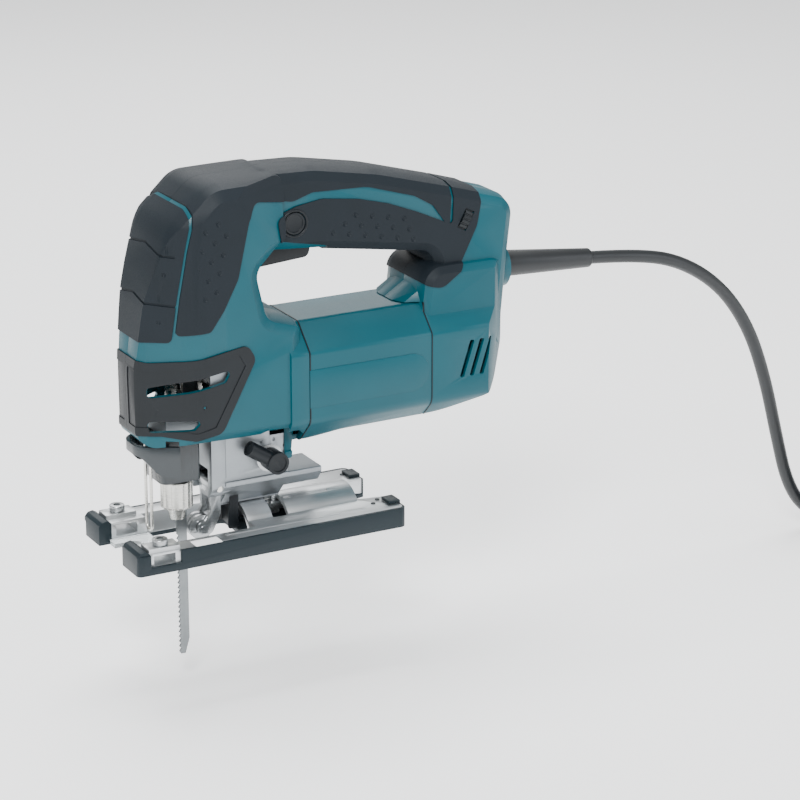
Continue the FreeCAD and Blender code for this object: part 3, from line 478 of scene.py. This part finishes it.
# supply cord, wound coil, tie and plug
cordPlan = {
    "diameter": 8,
    "length": 2.5,
    "guardTip": (227.4, 0, 131.4),
    "route": [(258, 0, 129), (292, 1, 121), (326, 5, 99.5), (352, 10, 68), (370, 15, 30), (385, 21, -12),
              (399, 26, -50), (418, 30, -73.5), (446, 33, -82), (466, 32.2, -82)],
    "coilCentre": (466, -19),
    "floor": -86,
    "turnPoints": 14,
    # turns made so far, radius, layer
    "stations": [(0, 51.2, 0), (0.25, 42, 0), (1.15, 42, 0), (1.3, 34, 0), (2.15, 34, 0), (2.3, 34, 1),
                 (3.15, 34, 1), (3.3, 34, 2), (4.15, 34, 2), (4.3, 42, 2), (5.15, 42, 2), (5.3, 42, 1),
                 (6.15, 42, 1), (6.3, 50, 1), (7.15, 50, 1), (7.3, 50, 2), (8.28, 50, 2), (8.38, 58, 1.6),
                 (8.46, 58, 0.2)],
    "tail": [(470, -75.5, -81.7), (460, -72.3, -81.5), (451, -71, -81.4)],      # into the plug's boot
}


def addCord(ends):
    points = [cordPlan["guardTip"], *cordPlan["route"]]
    cx, cy = cordPlan["coilCentre"]
    steps, stations = cordPlan["turnPoints"], cordPlan["stations"]
    thick = cordPlan["diameter"]
    lie = cordPlan["floor"] + thick / 2
    for step in range(1, round(stations[-1][0] * steps) + 1):
        made = step / steps
        low = max(k for k in range(len(stations) - 1) if stations[k][0] <= made)
        start, end = stations[low], stations[low + 1]
        share = min(1.0, (made - start[0]) / (end[0] - start[0]))
        r, layer = (start[n] + (end[n] - start[n]) * share for n in (1, 2))
        angle = math.pi / 2 - 2 * math.pi * made
        points.append((cx + r * math.cos(angle), cy + r * math.sin(angle), lie + thick * layer))
    points += cordPlan["tail"]
    curve = bpy.data.curves.new("supplyCord", "CURVE")
    curve.dimensions = "3D"
    spline = curve.splines.new("NURBS")
    spline.points.add(len(points) - 1)
    for point, spot in zip(spline.points, points):
        point.co = (*(Vector(spot) * mm), 1)
    spline.order_u = 3
    spline.use_endpoint_u = True
    spline.resolution_u = 6
    curve.bevel_depth = thick / 2 * mm
    curve.bevel_resolution = 4
    curve.use_fill_caps = True
    curve.materials.append(finish["cord_rubber"])
    cord = bpy.data.objects.new("supplyCord", curve)
    bpy.context.collection.objects.link(cord)
    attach(cord, "housing")
    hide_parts("cord_run", "cord_coil")


addCamera()
addStudio()
dressNodes()
print("studio and materials")


# soft grips
gripPlan = {
    "dimpleRadius": 1.9,
    "dimpleDepth": 0.74,
    "headRow": (-36.0, 188.4),       # front column's top dimple, on the head's flat side
    "headStep": (-2.15, -10.3),      # from one row to the next
    "headColumns": [(0, 0, 4), (7.5, 3.8, 4), (12.3, -3.2, 4)],      # offset of each column, and its count
    "headFlat": 31.8,
    "handleFlat": 20.8,
    "handleRows": [(61.0, 183.5, 4), (54.0, 179.3, 5), (46.5, 175.0, 6)],      # each row's start and count
    "handleStep": 10.2,
    "handleFall": (1.95, 0.02),      # how far a row falls at each step, and how that grows
}


def addDimples(name, spots, radius):       # small balls in one mesh, to press into a surface
    balls = []
    for spot in spots:
        bpy.ops.mesh.primitive_uv_sphere_add(segments=14, ring_count=8, radius=radius * mm,
                                             location=place(*spot))
        balls.append(settle(name))
    return joined(balls)


def headDimples(side):
    x0, z0 = gripPlan["headRow"]
    dx, dz = gripPlan["headStep"]
    y = side * (gripPlan["headFlat"] + gripPlan["dimpleRadius"] - gripPlan["dimpleDepth"])
    spots = [(x0 + ox + dx * n, y, z0 + oz + dz * n)
             for ox, oz, count in gripPlan["headColumns"] for n in range(count)]
    ox, oz, count = gripPlan["headColumns"][1]
    return spots + [(x0 + ox + dx * count, y, z0 + oz + dz * count)]      # the middle column has one more


def handleDimples(side):
    y = side * (gripPlan["handleFlat"] + gripPlan["dimpleRadius"] - gripPlan["dimpleDepth"])
    spots = []
    fall, more = gripPlan["handleFall"]
    for x0, z0, count in gripPlan["handleRows"]:
        spots += [(x0 + gripPlan["handleStep"] * n, y, z0 - fall * n - more * n * n) for n in range(count)]
    return spots


def addSideGrips():
    for side, word in ((left, "left"), (right, "right")):
        top = solidCopy("grip_top_" + word, "gripTop." + word)
        combine(top, addDimples("dimples", headDimples(side), gripPlan["dimpleRadius"]), "DIFFERENCE")
        fit(top, "housing", "soft_grip", stands=["grip_top_" + word], angle=28)
        inner = solidCopy("grip_inner_" + word, "gripInner." + word)
        combine(inner, addDimples("dimples", handleDimples(side), gripPlan["dimpleRadius"]), "DIFFERENCE")
        fit(inner, "housing", "soft_grip", stands=["grip_inner_" + word], angle=28)


addSideGrips()
skinHalf = 28        # about half the head's width, so that the skin grows evenly


def keepOutside(cutter, side, by):       # what is left of a cutter beyond one housing half's own skin
    skin = solidCopy("housing_left" if side == left else "housing_right", "skin")
    for vertex in skin.data.vertices:
        vertex.co.x -= by * mm
        vertex.co.y *= 1 + by / skinHalf
    return combine(cutter, skin, "DIFFERENCE")


# front grip: sloping grooves cross it, with dots and dashes sunk between them
frontPlan = {
    "dots": [(-53.3, -26.1, 193), (-57.7, -23.2, 165.4), (-60.6, -21.3, 138.4)],
    "dashes": [(-55.9, -23.9, 179.4), (-60.0, -21.3, 152.1)],
    "dotRadius": 1.5,
    "dashLong": 7.5,
    "levels": [(179, 175.3), (152, 147.6)],       # a groove's height at the middle and at the grip's side
    "grooveWide": 1.3,
    "dashRadius": 0.9,
    "shrink": 0.15,          # how far inside the housing's skin a groove stops
}


def addGroove(side, middle, end):       # a sloping slab that bites into the grip but not into the housing
    wide = frontPlan["grooveWide"] / 2
    y0, y1 = sorted((0, side * 26))
    slab = addBlock("groove", (-80, y0, middle - wide), (-45, y1, middle + wide))
    startEdit(slab)
    pickFaces(lambda c, n: n.y * side > 0.9)
    bpy.ops.transform.translate(value=(0, 0, (end - middle) * mm))
    endEdit()
    return keepOutside(slab, side, frontPlan["shrink"])


def addFrontGrip():
    grip = solidCopy("grip_front", "gripFront")
    cutters = []
    for side in (left, right):
        for kind in ("dots", "dashes"):
            radius = frontPlan["dotRadius"] if kind == "dots" else frontPlan["dashRadius"]
            for x, y, z in frontPlan[kind]:
                bpy.ops.mesh.primitive_uv_sphere_add(segments=16, ring_count=10, radius=radius * mm,
                                                     location=place(x, -side * y, z))
                if kind == "dashes":
                    bpy.context.object.scale = (1, 1, frontPlan["dashLong"] / (2 * radius))
                cutters.append(settle("cutter"))
    combine(grip, joined(cutters), "DIFFERENCE")
    for side in (left, right):
        for middle, end in frontPlan["levels"]:
            combine(grip, addGroove(side, middle, end), "DIFFERENCE")
    fit(grip, "housing", "soft_grip", stands=["grip_front"], angle=28)


addFrontGrip()
print("grips")


# CAD pieces whose edges get a moulded or cast round, in millimetres
roundings = {
    "housing_left": ("housingLeft", "housing", 0.45),
    "housing_right": ("housingRight", "housing", 0.45),
    "motor_housing": ("motorHousing", "housing", 0.4),
    "vent_cover_left": ("ventCoverLeft", "housing", 0),
    "vent_cover_right": ("ventCoverRight", "housing", 0),
    "gear_housing": ("gearHousing", "housing", 0.4),
    "base_plate": ("basePlate", "base", 0.5),
    "cover_plate": ("baseCover", "base", 0.6),
    "trigger": ("triggerKey", "trigger", 0.6),
    "roller_fork": ("rollerFork", "fork", 0.35),
    "plunger_shroud": ("plungerShroud", "housing", 0.4),
    "tool_opener": ("toolOpener", "opener", 0.4),
    "retainer_holder": ("retainerHolder", "housing", 0.3),
    "guide_roller": ("guideRoller", "roller", 0.35),
}
ventPlan = {
    "field": [(-90, 77), (-60, 78), (-43, 74.5), (-32, 77), (-13.5, 110), (-17, 116.5), (-40, 112),
              (-66, 110), (-90, 113)],
    "sides": (3, 40),        # the field reaches from here to here across the tool
    "shrink": 0.35,          # how far inside the housing's skin the field stops
    "dimples": [(-62.0, 20.2, 87.6), (-38.5, 32.0, 89.2)],
    "dimpleRadius": 1.4,
}
gearFace = {
    "y": -15.5,
    "pivot": (8, 47.5),
    "dimpleAngles": (119, 76, 33, -23),      # the lever's four positions, in degrees
    "dimpleOut": 11,
    "dimpleRadius": 1.15,
    "partingX": -19.4,
    "partingWide": 0.5,
    "partingDeep": 0.35,
    "partingHeights": (40, 66),
}
archNotch = {
    "spots": [(22.8, -6.0), (22.8, 6.0), (47.0, -6.0), (47.0, 6.0)],      # beside the arch's crown
    "halfLong": 1.9,
    "halfWide": 0.7,
    "heights": (16.9, 20),
}


def gearHousingMarks(piece):       # stamped position marks round the lever, and the casting's parting groove
    px, pz = gearFace["pivot"]
    out = gearFace["dimpleOut"]
    turns = [math.radians(angle) for angle in gearFace["dimpleAngles"]]
    spots = [(px + out * math.cos(turn), gearFace["y"] - 0.5, pz + out * math.sin(turn)) for turn in turns]
    combine(piece, addDimples("marks", spots, gearFace["dimpleRadius"]), "DIFFERENCE")
    x, half = gearFace["partingX"], gearFace["partingWide"] / 2
    low, high = gearFace["partingHeights"]
    bottom = gearFace["y"] + gearFace["partingDeep"]
    groove = addBlock("groove", (x - half, -17, low), (x + half, bottom, high))
    return combine(piece, groove, "DIFFERENCE")


def basePlateMarks(piece):
    long, wide = archNotch["halfLong"], archNotch["halfWide"]
    low, high = archNotch["heights"]
    for x, y in archNotch["spots"]:
        combine(piece, addBlock("notch", (x - long, y - wide, low), (x + long, y + wide, high)), "DIFFERENCE")
    return piece


def ventMarks(side):       # the field round the slots lies lower than its frame, with two dimples between
    def cut(piece):
        near, far = ventPlan["sides"]
        field = addSlab("field", ventPlan["field"], side * near, side * far)
        combine(piece, keepOutside(field, side, ventPlan["shrink"]), "DIFFERENCE")
        spots = [(x, side * y, z) for x, y, z in ventPlan["dimples"]]
        return combine(piece, addDimples("dimples", spots, ventPlan["dimpleRadius"]), "DIFFERENCE")
    return cut


marks = {"gear_housing": gearHousingMarks, "base_plate": basePlateMarks,
         "vent_cover_left": ventMarks(left), "vent_cover_right": ventMarks(right)}


def addRounded(nodeName):
    name, body, width = roundings[nodeName]
    piece = solidCopy(nodeName, name)
    if nodeName in marks:
        piece = marks[nodeName](piece)
    if width:
        soften(piece, width)
    look = "pressed_plate" if nodeName == "base_plate" else None
    return fit(piece, body, slotOf[nodeName], look, stands=[nodeName])


for nodeName in roundings:
    addRounded(nodeName)
print("rounded castings and mouldings")

# orbit lever, clamp sleeve and the other turned or moulded small parts
leverPlan = {
    "pivot": (8, 47.5),
    "lean": 147,              # the arm's direction, in degrees up from straight back
    "armLong": 19.4,
    "armY": -22.5,
    "armRadius": 4.4,
    "dishWide": 1.1,          # rim left round the dish in the arm's tip
    "dishDeep": 0.6,
    "hubRadius": 6.4,
    "hubSides": (-15.9, -27.5),
    "hubRim": 1.6,
    "hubDish": 0.7,
    "stemRadius": 4.0,
    "camRadius": 5.0,
    "camOffset": (1.6, 2),
    "inner": 9.0,             # how far across the tool the stem and its cam reach
    "washer": (8.1, -15.4, -15.85),      # radius and both faces
}


def addLever():
    px, pz = leverPlan["pivot"]
    y, inner = leverPlan["armY"], leverPlan["inner"]
    near, far = leverPlan["hubSides"]
    lean = math.radians(leverPlan["lean"])
    way = Vector((math.cos(lean), 0, math.sin(lean)))
    tip = Vector((px, y, pz)) + way * leverPlan["armLong"]
    hub = addDrum("orbitLever", leverPlan["hubRadius"], (px, near, pz), (px, far, pz))
    arm = addDrum("arm", leverPlan["armRadius"], (px, y, pz), tip)
    startEdit(arm)
    pickFaces(lambda c, n: (c - tip).length < 0.5)
    bpy.ops.mesh.inset(thickness=leverPlan["dishWide"] * mm)
    sink = way * -leverPlan["dishDeep"] * mm
    bpy.ops.mesh.extrude_region_move(TRANSFORM_OT_translate={"value": sink})
    endEdit()
    startEdit(hub)
    pickFaces(lambda c, n: n.y < -0.9)
    bpy.ops.mesh.inset(thickness=leverPlan["hubRim"] * mm)
    bpy.ops.mesh.extrude_region_move(TRANSFORM_OT_translate={"value": (0, leverPlan["hubDish"] * mm, 0)})
    endEdit()
    combine(hub, arm, "UNION")
    soften(hub, 0.9, 3, 40)
    cx, cz = px + leverPlan["camOffset"][0], pz + leverPlan["camOffset"][1]
    combine(hub, addDrum("stem", leverPlan["stemRadius"], (px, -17, pz), (px, inner, pz)), "UNION")
    combine(hub, addDrum("cam", leverPlan["camRadius"], (cx, -11.2, cz), (cx, inner, cz)), "UNION")
    fit(hub, "orbit_lever", slotOf["orbit_lever"], stands=["orbit_lever"], angle=35)
    radius, back, front = leverPlan["washer"]
    washer = addDrum("leverWasher", radius, (px, back, pz), (px, front, pz), 64)
    soften(washer, 0.2)
    fit(washer, "housing", "steel")


sleevePlan = {
    "x": -43,
    "radius": 9.3,
    "heights": (23, 38.5),
    "facets": 18,
    "taper": 0.8,          # lower edge against the full radius
    "facetRim": 0.55,
    "facetDeep": 0.35,
    "boreRadius": 5.08,
}


def addSleeve():       # faceted thumb ring, bored for the plunger
    x, radius, bore = (sleevePlan[key] for key in ("x", "radius", "boreRadius"))
    low, high = sleevePlan["heights"]
    ring = addDrum("clampSleeve", radius, (x, 0, low), (x, 0, high), sleevePlan["facets"])
    startEdit(ring)
    pickFaces(lambda c, n: n.z < -0.9)
    bpy.ops.mesh.extrude_region_move(TRANSFORM_OT_translate={"value": (0, 0, 0)})
    taper = sleevePlan["taper"]
    bpy.ops.transform.resize(value=(taper, taper, 1), center_override=place(x, 0, low))
    endEdit()
    startEdit(ring)
    pickFaces(lambda c, n: abs(n.z) < 0.3)
    bpy.ops.mesh.inset(thickness=sleevePlan["facetRim"] * mm, depth=-sleevePlan["facetDeep"] * mm,
                       use_individual=True)
    endEdit()
    soften(ring, 0.25, 2, 25)
    combine(ring, addDrum("bore", bore, (x, 0, low - 3), (x, 0, high + 2.5), 48), "DIFFERENCE")
    return ring


fenceScrew = {
    "x": -67,
    "y": 30,
    "head": (4.4, 14.2, 17.7),        # each piece's radius, lower end and upper end
    "socket": (2.3, 15.6, 19),
    "shank": (2.4, 10.3, 14.6),
}


def addFenceScrews():
    heads = []
    for side in (left, right):
        x, y = fenceScrew["x"], side * fenceScrew["y"]
        for part, sides in (("head", 40), ("socket", 6), ("shank", 24)):
            radius, low, high = fenceScrew[part]
            drum = addDrum(part, radius, (x, y, low), (x, y, high), sides)
            if part == "head":
                head = soften(drum, 0.5, 3)
            else:
                combine(head, drum, "DIFFERENCE" if part == "socket" else "UNION")
        heads.append(head)
    screws = joined(heads)
    screws.name = "fenceScrews"
    fit(screws, "base", "steel", stands=["fence_screws"])


lockPlan = {
    "x": 23,
    "z": 183.5,
    "capRadius": 6.3,
    "capSides": (-16.5, -20.9),
    "rimWide": 1.3,
    "dish": 0.6,
    "stem": (2.4, -17, -11.6),        # radius and both ends
    "ringRadius": 7.5,
    "ringThick": 0.75,
    "ringY": -20.6,
}


def addLockButton():       # pressed to keep the trigger on: a dished cap in a low rim
    x, z = lockPlan["x"], lockPlan["z"]
    near, far = lockPlan["capSides"]
    cap = addDrum("lockButton", lockPlan["capRadius"], (x, near, z), (x, far, z), 56)
    startEdit(cap)
    pickFaces(lambda c, n: n.y < -0.9)
    bpy.ops.mesh.inset(thickness=lockPlan["rimWide"] * mm)
    bpy.ops.mesh.extrude_region_move(TRANSFORM_OT_translate={"value": (0, lockPlan["dish"] * mm, 0)})
    endEdit()
    soften(cap, 0.45, 3)
    radius, outer, inner = lockPlan["stem"]
    combine(cap, addDrum("stem", radius, (x, outer, z), (x, inner, z), 24), "UNION")
    fit(cap, "lock_button", slotOf["lock_button"], stands=["lock_button"])
    bpy.ops.mesh.primitive_torus_add(major_radius=lockPlan["ringRadius"] * mm, major_segments=64,
                                     minor_radius=lockPlan["ringThick"] * mm, minor_segments=12,
                                     location=place(x, lockPlan["ringY"], z), rotation=(math.pi / 2, 0, 0))
    fit(settle("buttonRim"), "housing", "dark_plastic")


panelPlan = {
    "outline": [(25.2, 79.2), (92, 79.2), (97, 81.5), (100.4, 86), (101, 90.3), (100.4, 95), (97, 99.2),
                (92, 101.5), (25.2, 101.5)],
    "sides": (32.8, 33.35),
}


def addPanels():       # blank raised panel on each side of the barrel
    inner, outer = panelPlan["sides"]
    for side, word in ((left, "left"), (right, "right")):
        panel = addSlab("sidePanel." + word, panelPlan["outline"], side * inner, side * outer)
        soften(panel, 0.2, 2, 40)
        fit(panel, "housing", "teal_plastic")


# thin dark bands on the motor housing's two parting lines: painted shade for the shadow in the gaps
partingShadePlan = {
    "bands": [("partingShadeFront", 25.2, 25.8), ("partingShadeRear", 102.7, 103.3)],      # name and both faces
    "proud": 1.006,         # how much wider a painted shade band is than the motor housing
    "axisZ": 91,
}


def addPartings():       # dark bands where the motor housing meets its neighbours: painted shade standing in for the shadow in the parting gaps
    proud = partingShadePlan["proud"]
    for name, x0, x1 in partingShadePlan["bands"]:
        partingShade = solidCopy("motor_housing", name)
        startEdit(partingShade)
        for x, cut in ((x0, "clear_inner"), (x1, "clear_outer")):
            bpy.ops.mesh.select_all(action="SELECT")
            bpy.ops.mesh.bisect(plane_co=place(x, 0, 0), plane_no=(1, 0, 0), use_fill=True, **{cut: True})
        bpy.ops.mesh.select_all(action="SELECT")
        centre = place(x0, 0, partingShadePlan["axisZ"])
        bpy.ops.transform.resize(value=(1, proud, proud), center_override=centre)
        endEdit()
        # the band takes the dark nylon finish as painted shade in the parting gap
        fit(partingShade, "housing", "dark_plastic")


guardPlan = {
    "start": (167.4, 0, 136),
    "radii": (7.9, 5.7),         # at the housing and at the tip
    "collar": (155, 0, 136),
    "collarRadius": 6.0,
    "overlap": 0.1,              # share of the guard that the collar runs into
}


def addGuard():       # moulded bend guard, thick at the housing and thin at its tip
    start, tip = Vector(guardPlan["start"]), Vector(cordPlan["guardTip"])
    guard = addCone("cordGuard", guardPlan["radii"], start, tip, 64)
    soften(guard, 1.1, 4, 40)
    reach = start + (tip - start) * guardPlan["overlap"]
    combine(guard, addDrum("collar", guardPlan["collarRadius"], guardPlan["collar"], reach, 48), "UNION")
    return fit(guard, "housing", slotOf["cord_guard"], stands=["cord_guard"], angle=40)


# plug, its pins and the cord's tie: new name, edge radius in millimetres and its segments
plugPlan = {
    "plug_body": ("plugBody", 1.6, 3),
    "plug_pins": ("plugPins", 0.8, 3),
    "cord_tie": ("cordTie", 0.5, 2),
}


def addPlug():       # flat two-pin plug lying beside the coil
    pieces = []
    for nodeName, (name, width, segments) in plugPlan.items():
        piece = soften(solidCopy(nodeName, name), width, segments, 35)
        pieces.append(fit(piece, "housing", slotOf[nodeName], stands=[nodeName]))
    return pieces


baseTrim = {
    "screws": [(76.2, 27.9), (74.7, -19.1), (69.6, -23.8)],
    "screwRadius": 1.4,
    "top": 11.5,
    # patch: a thin block on the base plate that glows pale, a painted highlight
    "patch": ((-48, -37, 11.45), (-32, -28.5, 11.62)),
    "rib": ((-26, -29.5, 11.4), (62, -26.8, 11.75)),
}


def addBaseTrim():
    top = baseTrim["top"]
    screws = []
    for x, y in baseTrim["screws"]:
        screw = addDrum("trimScrew", baseTrim["screwRadius"], (x, y, top - 0.3), (x, y, top + 0.5), 24)
        soften(screw, 0.2)
        slot = addBlock("slot", (x - 1.6, y - 0.2, top + 0.2), (x + 1.6, y + 0.2, top + 1))
        combine(screw, slot, "DIFFERENCE")
        screws.append(screw)
    piece = joined(screws)
    piece.name = "trimScrews"
    fit(piece, "base", "steel", "hard_steel")
    rib = addBlock("edgeRib", *baseTrim["rib"])
    soften(rib, 0.3, 2)
    fit(rib, "base", "cast_aluminium", "pressed_plate")
    # painted highlight: a thin pale block that glows on the base plate's top
    patch = addBlock("paintedHighlightPatch", *baseTrim["patch"])
    fit(patch, "base", "clear_plastic")
    # the glowing paper finish makes the patch a painted highlight
    patch.data.materials[0] = seamlessPaper()


addLever()
fit(addSleeve(), "sleeve", slotOf["clamp_sleeve"], "turned_steel", stands=["clamp_sleeve"], angle=25)
addFenceScrews()
addLockButton()
addPanels()
addPartings()
addBaseTrim()
addCord([addGuard(), *addPlug()])
print("small parts, cord and plug")
